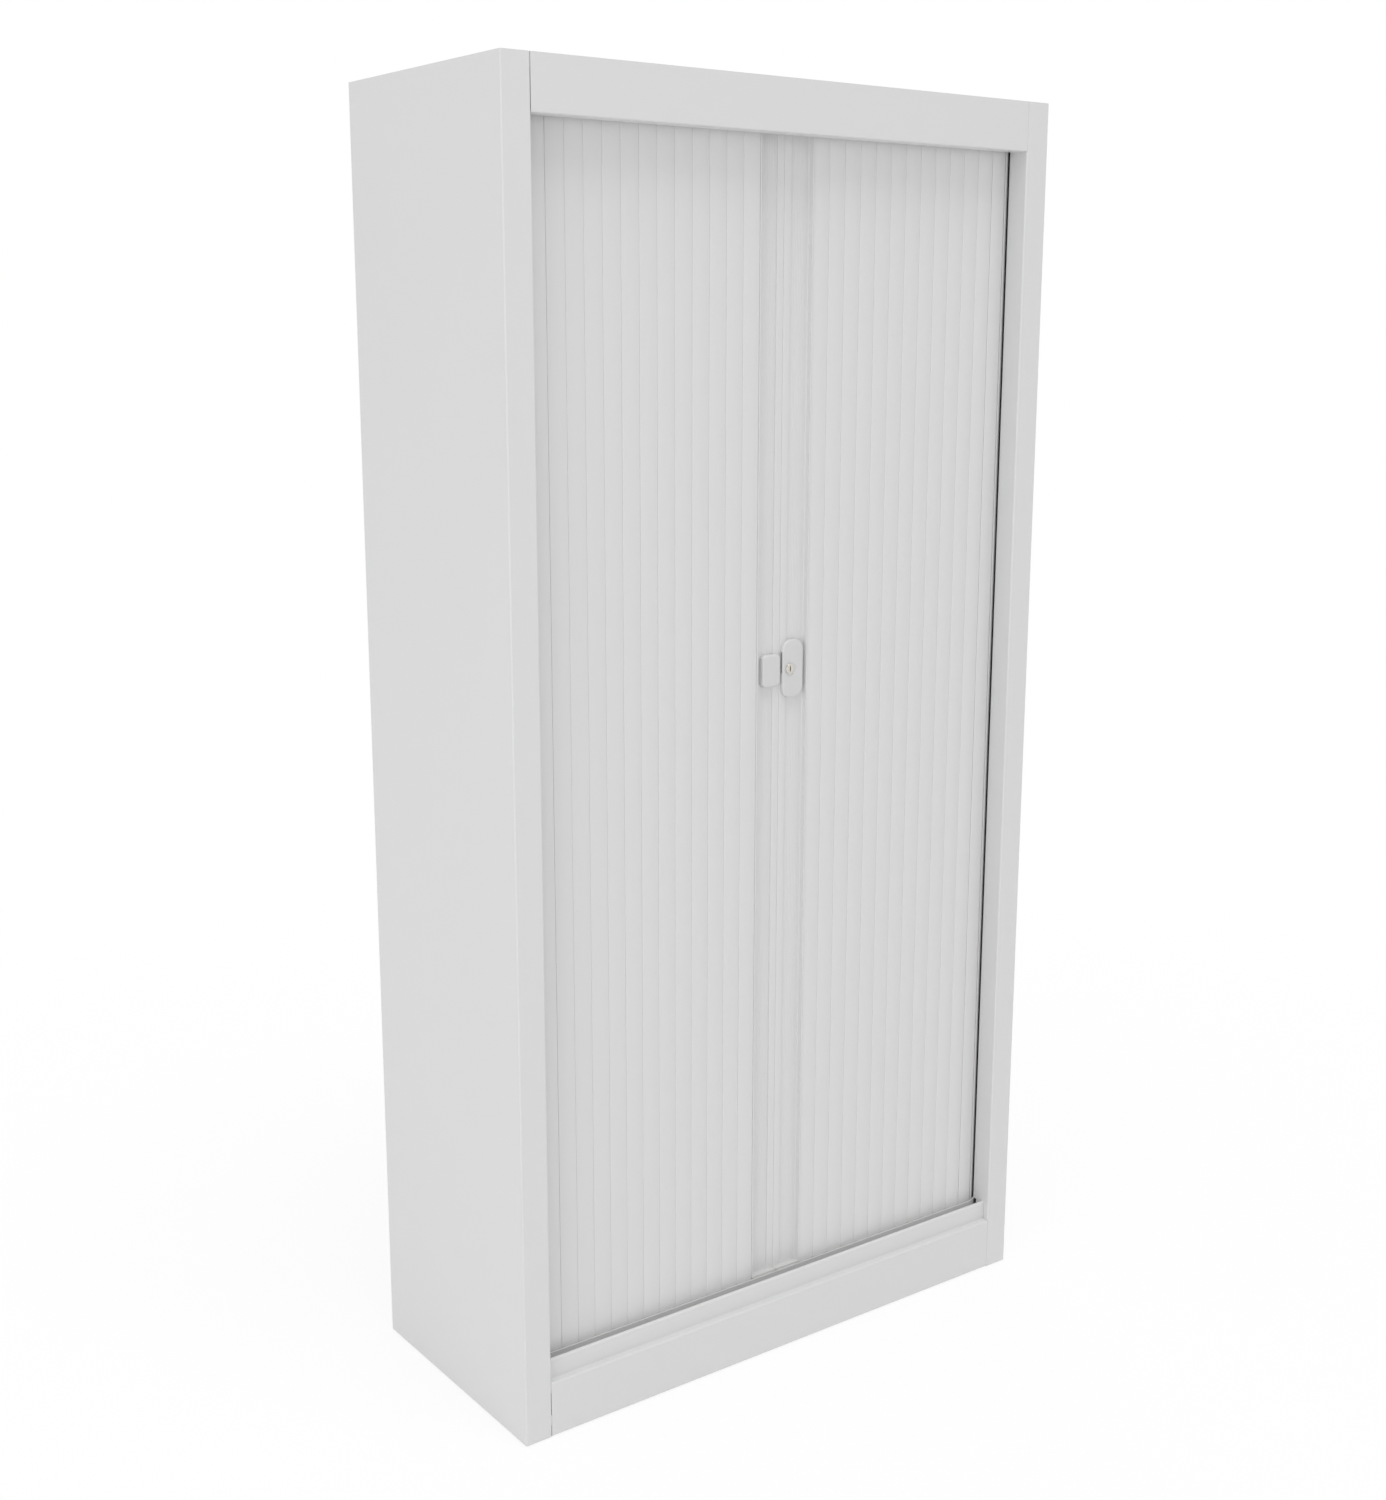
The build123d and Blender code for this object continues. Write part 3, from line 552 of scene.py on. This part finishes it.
class CABINET_OT_stage(bpy.types.Operator):
    """Adds the floor, the white surround, the softboxes and the camera"""

    bl_idname = "cabinet.stage"
    bl_label = "Stage"

    def execute(self, context):
        settings = context.scene.cabinet_stage
        self.make_world(context, settings)
        self.make_floor(context, settings)
        self.make_lamps(context, settings)
        self.make_camera(context, settings)
        return {"FINISHED"}

    def seen_directly(self, tree):
        """One for camera, glossy and transmitted rays, and nought for the light on the object."""
        path = add(tree, "ShaderNodeLightPath")
        either = add(
            tree, "ShaderNodeMath", {"operation": "MAXIMUM"},
            {0: path.outputs["Is Camera Ray"], 1: path.outputs["Is Glossy Ray"]},
        )
        any_of = add(
            tree, "ShaderNodeMath", {"operation": "MAXIMUM"},
            {0: either.outputs[0], 1: path.outputs["Is Transmission Ray"]},
        )
        return any_of.outputs[0]

    def make_world(self, context, settings):
        world = bpy.data.worlds.new("white_surround")
        world.use_nodes = True
        tree = world.node_tree
        tree.nodes.clear()
        white = (1, 1, 1, 1)
        sky = add(tree, "ShaderNodeBackground", {"Color": white, "Strength": settings.sky_level})
        seen = add(tree, "ShaderNodeBackground", {"Color": white, "Strength": 1.0})
        mix = add(
            tree, "ShaderNodeMixShader", {},
            {0: self.seen_directly(tree), 1: sky.outputs[0], 2: seen.outputs[0]},
        )
        add(tree, "ShaderNodeOutputWorld", {}, {"Surface": mix.outputs[0]})
        context.scene.world = world
        context.scene.view_settings.view_transform = "Standard"

    def make_floor(self, context, settings):
        half = settings.floor_span / 2
        mesh = bpy.data.meshes.new("studio_floor")
        corners = [(-half, -half, 0), (half, -half, 0), (half, half, 0), (-half, half, 0)]
        mesh.from_pydata(corners, [], [(0, 1, 2, 3)])
        floor = bpy.data.objects.new("studio_floor", mesh)
        context.scene.collection.objects.link(floor)
        material = bpy.data.materials.new("matt_white_floor")
        material.use_nodes = True
        tree = material.node_tree
        tree.nodes.clear()
        paint = add(tree, "ShaderNodeBsdfDiffuse", {"Color": linear("#F8F8F8")})
        glow = add(tree, "ShaderNodeEmission", {"Color": (1, 1, 1, 1), "Strength": 1.0})
        # The glow is even far away and weaker near the cabinet, so that the shadow stays there.
        place = add(tree, "ShaderNodeTexCoord")
        away = add(tree, "ShaderNodeVectorMath", {"operation": "LENGTH"}, {0: place.outputs["Object"]})
        values = {
            "interpolation_type": "SMOOTHSTEP", "From Min": settings.glow_start,
            "From Max": settings.glow_end, "To Min": settings.glow_low, "To Max": 1.0,
        }
        fade = add(tree, "ShaderNodeMapRange", values, {"Value": away.outputs["Value"]})
        share = add(
            tree, "ShaderNodeMath", {"operation": "MULTIPLY"},
            {0: self.seen_directly(tree), 1: fade.outputs["Result"]},
        )
        mix = add(
            tree, "ShaderNodeMixShader", {}, {0: share.outputs[0], 1: paint.outputs[0], 2: glow.outputs[0]}
        )
        add(tree, "ShaderNodeOutputMaterial", {}, {"Surface": mix.outputs[0]})
        mesh.materials.append(material)

    def make_lamps(self, context, settings):
        # Each softbox: name, place and width in metres, and how many units of power it gives.
        softboxes = [
            ("softbox_left", (-4.3, -1.6, 1.2), 2.6, 2.1),
            ("softbox_front", (0.8, -4.2, 0.5), 2.6, 0.35),
            ("softbox_above", (-0.5, -2.4, 9.0), 4.0, 15.0),
            ("softbox_behind", (1.8, 3.6, 1.8), 2.6, 0.8),
        ]
        middle = Vector((0.0, 0.0, 1.0))
        for name, place, width, units in softboxes:
            light = bpy.data.lights.new(name, "AREA")
            light.shape = "DISK"
            light.size = width
            light.energy = settings.lamp_power * units
            lamp = bpy.data.objects.new(name, light)
            aim = middle - Vector(place)
            lamp.location = place
            lamp.rotation_euler = aim.to_track_quat("-Z", "Y").to_euler()
            context.scene.collection.objects.link(lamp)

    def make_camera(self, context, settings):
        az, el, roll = settings.azimuth, settings.elevation, settings.roll
        back = Vector((math.sin(az) * math.cos(el), -math.cos(az) * math.cos(el), math.sin(el)))
        level = Vector((0, 0, 1)).cross(back).normalized()
        up = back.cross(level)
        right = math.cos(roll) * level + math.sin(roll) * up
        above = math.cos(roll) * up - math.sin(roll) * level
        turned = Matrix((right, above, back)).transposed().to_4x4()
        camera_data = bpy.data.cameras.new("photo_camera")
        camera_data.lens = settings.focal_length
        camera = bpy.data.objects.new("photo_camera", camera_data)
        camera.matrix_world = Matrix.Translation(settings.camera_place) @ turned
        context.scene.collection.objects.link(camera)
        context.scene.camera = camera


class CABINET_OT_casing(bpy.types.Operator):
    """Finishes the folded sheets of the casing and the parts inside it"""

    bl_idname = "cabinet.casing"
    bl_label = "Casing"

    def execute(self, context):
        settings = context.scene.cabinet_settings
        coat, _, _ = powder_coat(settings.casing_colour)
        welded, tree, shader = powder_coat(settings.casing_colour, "spot_welded_powder_coated_steel")
        side, back, _ = CAD_BOX[1]
        # The marks lie on the cabinet's very back, within less than the sheet's thickness.
        place = side - settings.weld_inset * MM, back - 0.4 * MM
        marks = weld_marks(tree, *place, settings.weld_pitch * MM, settings.weld_radius * MM)
        relief(tree, shader, marks, settings.weld_depth * MM)
        finish(sides("side_panel"), welded)
        panels = ["back_panel", "top_panel", "ceiling_panel", "base_panel", "header_rail", "plinth_rail"]
        inner = [*sides("liner"), "shelf_uprights", "shelf_1", "shelf_2", "shelf_3", "shelf_4"]
        finish([*panels, *inner], coat)
        finish(["shelf_clips", "foot_brackets"], zinc_plate())
        return {"FINISHED"}


class CABINET_OT_shutters(bpy.types.Operator):
    """Extrudes the slats and the leading profiles, and finishes what they run in"""

    bl_idname = "cabinet.shutters"
    bl_label = "Shutters"

    def execute(self, context):
        settings, sizes = context.scene.cabinet_settings, context.scene.cabinet_slats
        plastic = slat_plastic(settings.slat_colour)
        outline = self.slat_outline(sizes)
        core = self.slat_core(sizes)
        for name in sorted(name for name in frame["nodes"] if name.startswith("right_slat_")):
            hinge, along = self.slat_line(name, sizes)
            turn = np.array([along, (-along[1], along[0])])
            loops = [outline @ turn + hinge, core @ turn + hinge]
            for node, side in ((name, 1), (name.replace("right", "left"), -1)):
                extrusion(node + "_extrusion", node, loops, side, plastic)
        aluminium = coated_profile(settings.casing_colour)
        loops = self.leading_loops(context.scene.cabinet_leading, sizes)
        for node, side in zip(sides("leading_profile"), (-1, 1)):
            extrusion(node + "_extrusion", node, loops, side, aluminium)
        finish([*sides("runners"), "upper_tracks", "lower_tracks", "centre_stops"], track_plastic())
        return {"FINISHED"}

    def slat_outline(self, sizes):
        """The slat's closed outline, with the hinge's socket at the origin and the front at -y.

        Front: a parabola, y = crown * t * t - front with t from -1 to 1, between two elliptic shoulders.
        Left: a round socket whose mouth opens backwards. Right: a neck and a bead, a pitch from the socket.
        """
        left, right = -sizes.nose, sizes.pitch - sizes.nose - sizes.gap
        wide, deep = sizes.shoulder_width, sizes.shoulder_depth
        t = np.linspace(1, -1, CROWN_POINTS)
        crown_x = (left + right) / 2 + t * ((right - left) / 2 - wide)
        crown = np.stack([crown_x, sizes.crown * t**2 - sizes.front], -1)
        shoulder = sizes.crown + deep - sizes.front
        mouth = 180 + math.degrees(sizes.mouth_front), 540 - math.degrees(sizes.mouth_back)
        neck = math.degrees(math.asin(sizes.neck / 2 / sizes.bead))
        # The socket's back lip ends before the hinge, and the neck stands on feet of its own.
        lip = -0.45 * sizes.nose
        return np.concatenate([
            arc((right - wide, shoulder), (wide, deep), 0, -90, SHOULDER_POINTS)[:-1],
            crown,
            arc((left + wide, shoulder), (wide, deep), 270, 180, SHOULDER_POINTS)[1:],
            arc((0, 0), sizes.bead + sizes.clearance, *mouth, BEAD_POINTS),
            [(lip, sizes.nose), (right, sizes.nose), (right, sizes.neck / 2)],
            arc((sizes.pitch, 0), sizes.bead, 180 - neck, neck - 180, BEAD_POINTS),
            [(right, -sizes.neck / 2)],
        ])

    def slat_core(self, sizes):
        """The slat's hollow, a wall in from its front and back, and two walls from the socket."""
        x0 = sizes.bead + sizes.clearance + 2 * sizes.wall
        x1 = sizes.pitch - sizes.nose - sizes.gap - sizes.shoulder_width
        y0, y1 = sizes.wall + sizes.crown - sizes.front, sizes.nose - sizes.wall
        return np.array([(x0, y0), (x0, y1), (x1, y1), (x1, y0)])

    def slat_line(self, name, sizes):
        """The hinge's (x, depth) in millimetres and the slat's direction in plan, read from the CAD node.

        The node's largest upright face gives the direction, and its near end and front give the hinge.
        """
        mesh = frame["nodes"][name].data
        normals = np.empty(len(mesh.polygons) * 3)
        areas = np.empty(len(mesh.polygons))
        points = np.empty(len(mesh.vertices) * 3)
        mesh.polygons.foreach_get("normal", normals)
        mesh.polygons.foreach_get("area", areas)
        mesh.vertices.foreach_get("co", points)
        normals = normals.reshape(-1, 3)
        across = normals[np.argmax(areas * (abs(normals[:, 2]) < 0.5)), :2]
        across = across / np.hypot(*across)
        along = np.array([abs(across[1]), -across[0] * math.copysign(1, across[1])])
        across = np.array([-along[1], along[0]])
        plan = points.reshape(-1, 3)[:, :2] / MM
        hinge = (plan @ along).min() * along + (plan @ across).min() * across
        hinge += sizes.nose * along + sizes.front * across
        return hinge + [0, CABINET_DEPTH / 2 / MM], along

    def leading_loops(self, sizes, slats):
        """The right-hand profile's outline and its hollow in plan, from the meeting lip round to the bead.

        The grip face is a row of grooves, depth = face + half the groove's depth * (1 - cos(turn)).
        """
        low, high = corners_of("right_leading_profile")
        front, back = low[1], high[1]
        face = front + sizes.grip_depth
        lip = face - sizes.lip_height
        start, end = sizes.meeting_gap, sizes.hinge - slats.nose - slats.gap
        strip = end - sizes.wall
        radius, inner, fillet = sizes.edge_radius, sizes.inner_radius, sizes.fillet
        first, last = sizes.lip_width + 2 * fillet, strip - inner - fillet
        grooves = int((last - first) / sizes.groove_pitch)
        x = np.linspace(first, last, grooves * GROOVE_POINTS + 1)
        turn = (x - first) / (last - first) * grooves * 2 * math.pi
        grip = np.stack([x, face + sizes.groove_depth / 2 * (1 - np.cos(turn))], -1)
        hinge = slats.front + front
        neck = math.degrees(math.asin(slats.neck / 2 / slats.bead))
        outline = np.concatenate([
            arc((start + radius, lip + radius), radius, 180, 270, EDGE_POINTS),
            arc((sizes.lip_width - radius, lip + radius), radius, 270, 360, EDGE_POINTS),
            arc((sizes.lip_width + fillet, face - fillet), fillet, 180, 90, FILLET_POINTS),
            grip,
            arc((strip - inner, face - inner), inner, 90, 0, INNER_POINTS),
            arc((strip + radius, front + radius), radius, 180, 270, EDGE_POINTS),
            arc((end - radius, front + radius), radius, 270, 360, EDGE_POINTS),
            [(end, hinge - slats.neck / 2)],
            arc((sizes.hinge, hinge), slats.bead, 180 + neck, 540 - neck, BEAD_POINTS),
            [(end, hinge + slats.neck / 2)],
            arc((end - radius, back - radius), radius, 0, 90, EDGE_POINTS),
            arc((start + radius, back - radius), radius, 90, 180, EDGE_POINTS),
        ])
        wall = sizes.wall
        middle = (start + strip) / 2, (face + back) / 2
        hollow = rounded_outline(middle, (strip - start) / 2 - wall, (back - face) / 2 - wall, fillet)
        return [outline, hollow]


class CABINET_OT_lock(bpy.types.Operator):
    """Moulds the lock and strike housings, turns the cylinder and finishes the hook"""

    bl_idname = "cabinet.lock"
    bl_label = "Lock"

    def execute(self, context):
        sizes, leading = context.scene.cabinet_lock, context.scene.cabinet_leading
        plastic = moulded_abs(context.scene.cabinet_settings.housing_colour)
        low, high = corners_of("lock_cylinder")
        axis = (low[0] + high[0]) / 2, (low[2] + high[2]) / 2
        housings = [
            ("lock_housing", sizes.lock_corner, axis, sizes.lock_slot_high),
            ("strike_housing", sizes.strike_corner, None, sizes.strike_slot_high),
        ]
        for node, corner, hole, slot_high in housings:
            slot = axis[1] - sizes.slot_low, axis[1] + slot_high
            self.housing(node, corner, hole, slot, leading, sizes, plastic)
        self.cylinder(axis, low[1], high[1], sizes)
        finish(["lock_hook"], zinc_plate())
        return {"FINISHED"}

    def housing(self, node, corner, hole, slot, leading, sizes, plastic):
        """A moulded shell, open behind: its rounded rectangle draws in by a quarter circle at the front.

        The lock's front sinks a little round the cylinder's hole. Both are cut away round the meeting lip,
        and for the hook between the slot's two heights.
        """
        low, high = corners_of(node)
        front, back = low[1], high[1]
        middle = (low[0] + high[0]) / 2, (low[2] + high[2]) / 2
        half = (high[0] - low[0]) / 2, (high[2] - low[2]) / 2
        centre = hole or middle
        wall, radius = sizes.wall, sizes.edge_radius

        def inset(by):
            outline = rounded_outline(middle, half[0] - by, half[1] - by, corner - by)
            return reach_to(outline, centre, HOUSING_POINTS)

        turn = np.radians(np.linspace(0, 90, FRONT_POINTS))
        reaches = [inset(wall), inset(wall), inset(0)]
        reaches += [inset(by) for by in radius * (1 - np.cos(turn))]
        depths = [front + wall, back, back, *(front + radius * (1 - np.sin(turn)))]
        if hole:
            dish, bore = sizes.dish_radius, sizes.cylinder_radius + sizes.turning_gap
            reaches += [dish, dish - sizes.dish_depth, bore, bore]
            depths += [front, front + sizes.dish_depth, front + sizes.dish_depth, front + wall]
        points = rings(centre, reaches, depths, HOUSING_POINTS)
        faces = ring_faces(len(depths), HOUSING_POINTS, looped=bool(hole))
        side = math.copysign(1, middle[0])
        near = abs(middle[0]) - half[0]
        lip_x = sorted((0.0, side * (leading.lip_width + sizes.clearance)))
        lip_front = back - leading.lip_height - sizes.clearance
        slot_x = sorted((0.0, side * (near + wall + sizes.clearance)))
        cutters = [
            ((lip_x[0], lip_front, low[2] - 1), (lip_x[1], back + 1, high[2] + 1)),
            ((slot_x[0], front + sizes.slot_front, slot[0]), (slot_x[1], front + sizes.slot_back, slot[1])),
        ]
        piece(node + "_moulding", node, in_frame(points), faces, [plastic], cutters)

    def cylinder(self, axis, front, back, sizes):
        """The barrel, from its keyway over a ringed face to its side, with a hexagon and a square tail."""
        around, radius = CYLINDER_POINTS, sizes.cylinder_radius

        def keyway(by):
            half_width, half_height = sizes.keyway_width / 2 + by, sizes.keyway_height / 2 + by
            return reach_to(rounded_outline(axis, half_width, half_height, 0.9 + by), axis, around)

        slot, mouth = keyway(0), keyway(0.3)
        hexagon = reach_to(polygon(axis, sizes.flange_radius, 6), axis, around)
        tail = reach_to(polygon(axis, sizes.tail / math.sqrt(2), 4, 45), axis, around)
        # Each ring: its reach from the axis, and its depth behind the barrel's face.
        profile = [
            (slot, sizes.keyway_depth), (slot, 0.3), (mouth, 0.0),
            (radius - 2.5, 0.0), (radius - 2.4, 0.25), (radius - 2.0, 0.25), (radius - 1.9, 0.0),
            (radius - 0.7, 0.0), (radius - 0.35, 0.1), (radius - 0.1, 0.35), (radius, 0.7),
            (radius, sizes.flange_front), (hexagon, sizes.flange_front),
            (hexagon, sizes.flange_back), (tail, sizes.flange_back), (tail, back - front),
        ]
        reaches, depths = zip(*profile)
        points = in_frame(rings(axis, reaches, front + np.array(depths), around))
        faces = ring_faces(len(profile), around)
        piece("lock_cylinder_turned", "lock_cylinder", points, faces, [nickel_plate()])


class CABINET_OT_feet(bpy.types.Operator):
    """Cuts the threads of the levelling feet and moulds their pads"""

    bl_idname = "cabinet.feet"
    bl_label = "Levelling feet"

    def execute(self, context):
        sizes = context.scene.cabinet_feet
        materials = [zinc_plate(), pad_nylon()]
        for node in sorted(name for name in frame["nodes"] if name.startswith("levelling_foot_")):
            self.foot(node, sizes, materials)
        return {"FINISHED"}

    def foot(self, node, sizes, materials):
        """A hexagonal pad with soft edges, and a stud whose radius follows a helix.

        Stud: radius = stud radius - thread depth * |2 * fraction(height / pitch - turn) - 1|.
        """
        low, high = corners_of(node)
        centre = (low[0] + high[0]) / 2, (low[1] + high[1]) / 2
        around, pitch, top, end = FOOT_POINTS, sizes.thread_pitch, sizes.pad_height, high[2]
        core = sizes.stud_radius - sizes.thread_depth

        def hexagon(by):
            return reach_to(polygon(centre, sizes.pad_radius - by, 6), centre, around)

        # Each ring of the pad: its reach from the stud's axis, and its height.
        pad = [
            (hexagon(0.8), 0.0), (hexagon(0.2), 0.3), (hexagon(0), 0.9), (hexagon(0), top - 1.2),
            (hexagon(0.4), top - 0.4), (hexagon(1.4), top), (sizes.stud_radius + 2.5, top), (core, top),
        ]
        start, stop = top + 0.5, end - 0.8
        levels = np.linspace(start, stop, int((end - start) / pitch * THREAD_LEVELS))
        turns = np.arange(around) / around
        phase = np.mod(levels[:, None] / pitch - turns, 1)
        thread = sizes.stud_radius - sizes.thread_depth * abs(2 * phase - 1)
        reaches = [*(reach for reach, _ in pad), *thread, core - 0.3]
        heights = [*(height for _, height in pad), *levels, end]
        points = rings(centre, reaches, heights, around, upright=True)
        faces = ring_faces(len(heights), around)
        slot = sizes.slot_width / 2
        cutter = (low[0], centre[1] - slot, end - sizes.slot_depth), (high[0], centre[1] + slot, end + 1)
        made = piece(node + "_turned", node, in_frame(points), faces, materials, [cutter])
        # The pad's faces are those that don't rise above it.
        mesh = made.data
        tops = np.array([max(mesh.vertices[v].co.z for v in face.vertices) for face in mesh.polygons])
        mesh.polygons.foreach_set("material_index", (tops < (top + 0.1) * MM).astype(int))


class CABINET_PT_sidebar(bpy.types.Panel):
    bl_label = "Cabinet"
    bl_idname = "CABINET_PT_sidebar"
    bl_space_type = "VIEW_3D"
    bl_region_type = "UI"
    bl_category = "Cabinet"

    def draw(self, context):
        scene = context.scene
        for prop in GROUPS:
            group = getattr(scene, prop)
            for name in group.__annotations__:
                self.layout.prop(group, name)
        for operator in OPERATORS:
            self.layout.operator(operator.bl_idname)


OPERATORS = (CABINET_OT_stage, CABINET_OT_casing, CABINET_OT_shutters, CABINET_OT_lock, CABINET_OT_feet)
GROUPS = {
    "cabinet_settings": CabinetSettings,
    "cabinet_slats": SlatSettings,
    "cabinet_leading": LeadingSettings,
    "cabinet_lock": LockSettings,
    "cabinet_feet": FootSettings,
    "cabinet_stage": StageSettings,
}
CLASSES = (*GROUPS.values(), *OPERATORS, CABINET_PT_sidebar)


def register():
    for one in CLASSES:
        bpy.utils.register_class(one)
    for name, group in GROUPS.items():
        setattr(bpy.types.Scene, name, PointerProperty(type=group))


def unregister():
    for name in GROUPS:
        delattr(bpy.types.Scene, name)
    for one in reversed(CLASSES):
        bpy.utils.unregister_class(one)


def main():
    register()
    for operator in OPERATORS:
        _, name = operator.bl_idname.split(".")
        getattr(bpy.ops.cabinet, name)()


if __name__ == "__main__":
    main()
